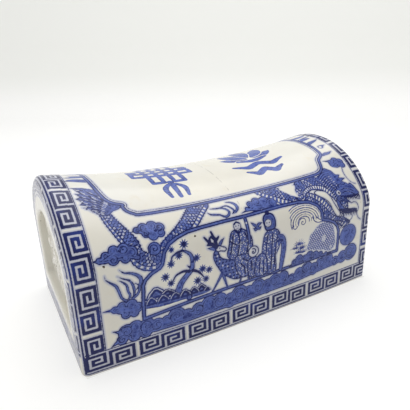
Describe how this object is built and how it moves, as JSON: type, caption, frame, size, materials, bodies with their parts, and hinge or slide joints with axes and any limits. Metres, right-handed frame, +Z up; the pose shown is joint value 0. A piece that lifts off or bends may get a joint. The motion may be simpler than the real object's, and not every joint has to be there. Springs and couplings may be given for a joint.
{
  "type": "ceramic pillow",
  "caption": "Hollow saddle-backed porcelain pillow on a flat base, with an arch-shaped recess and moulded relief in each end; a blue-and-white headrest or display piece.",
  "frame": {"origin": "centre of the flat base, on the surface that the pillow stands on", "axes": "+X along the pillow's length to its right end, +Y to its back, +Z up"},
  "size_m": [0.3, 0.171, 0.1397],
  "materials": {
    "painted_glaze": "gloss",
    "end_glaze": "gloss",
    "relief_glaze": "gloss",
    "bare_clay": "matt, unglazed",
    "luting_clay": "matt, unglazed"
  },
  "bodies": {
    "root": {"left_half_shell": "painted_glaze", "right_half_shell": "painted_glaze", "left_end_panel": "end_glaze", "right_end_panel": "end_glaze", "left_end_relief": "relief_glaze", "right_end_relief": "relief_glaze", "base_slab": "bare_clay", "seam_strip": "luting_clay", "front_luting_coil": "luting_clay", "back_luting_coil": "luting_clay", "left_luting_coil": "luting_clay", "right_luting_coil": "luting_clay"}
  },
  "joints": []
}
